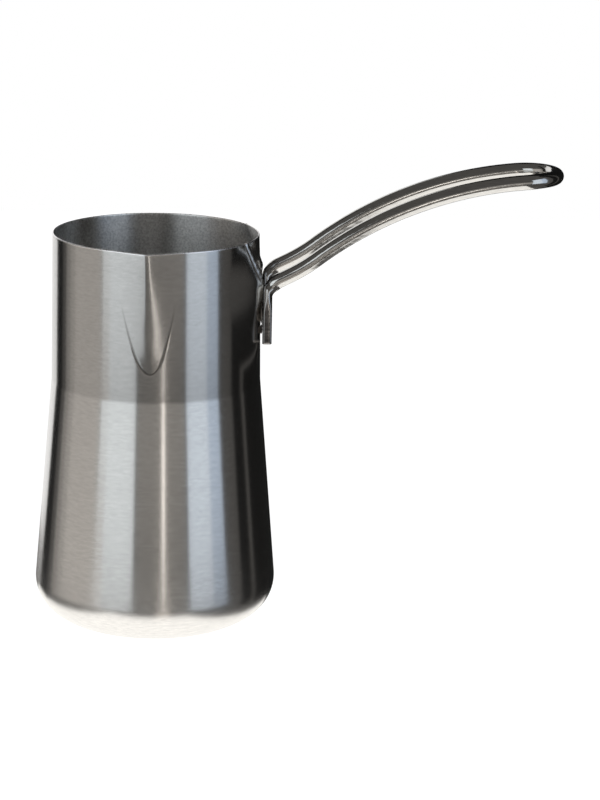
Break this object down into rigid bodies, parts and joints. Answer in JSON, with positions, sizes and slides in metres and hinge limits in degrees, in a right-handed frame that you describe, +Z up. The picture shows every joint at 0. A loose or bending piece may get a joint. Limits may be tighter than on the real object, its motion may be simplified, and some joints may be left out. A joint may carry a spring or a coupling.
{
  "type": "turkish coffee pot",
  "caption": "Tall steel cezve with a flared round base, a pressed V spout and a long hairpin rod handle spot-welded to the wall.",
  "frame": {"origin": "centre of the base's flat underside, on the pot's axis", "axes": "+Z up along the pot's axis, +X along the handle, spout close to -Y"},
  "size_m": [0.1783, 0.0834, 0.1584],
  "materials": {
    "body_steel": "fine circumferential brushing",
    "rod_steel": "polished",
    "weld_steel": "matt, heat-darkened"
  },
  "bodies": {
    "root": {"pot_body": "body_steel", "handle_rod": "rod_steel", "weld_front_upper": "weld_steel", "weld_front_lower": "weld_steel", "weld_rear_upper": "weld_steel", "weld_rear_lower": "weld_steel"}
  },
  "joints": []
}
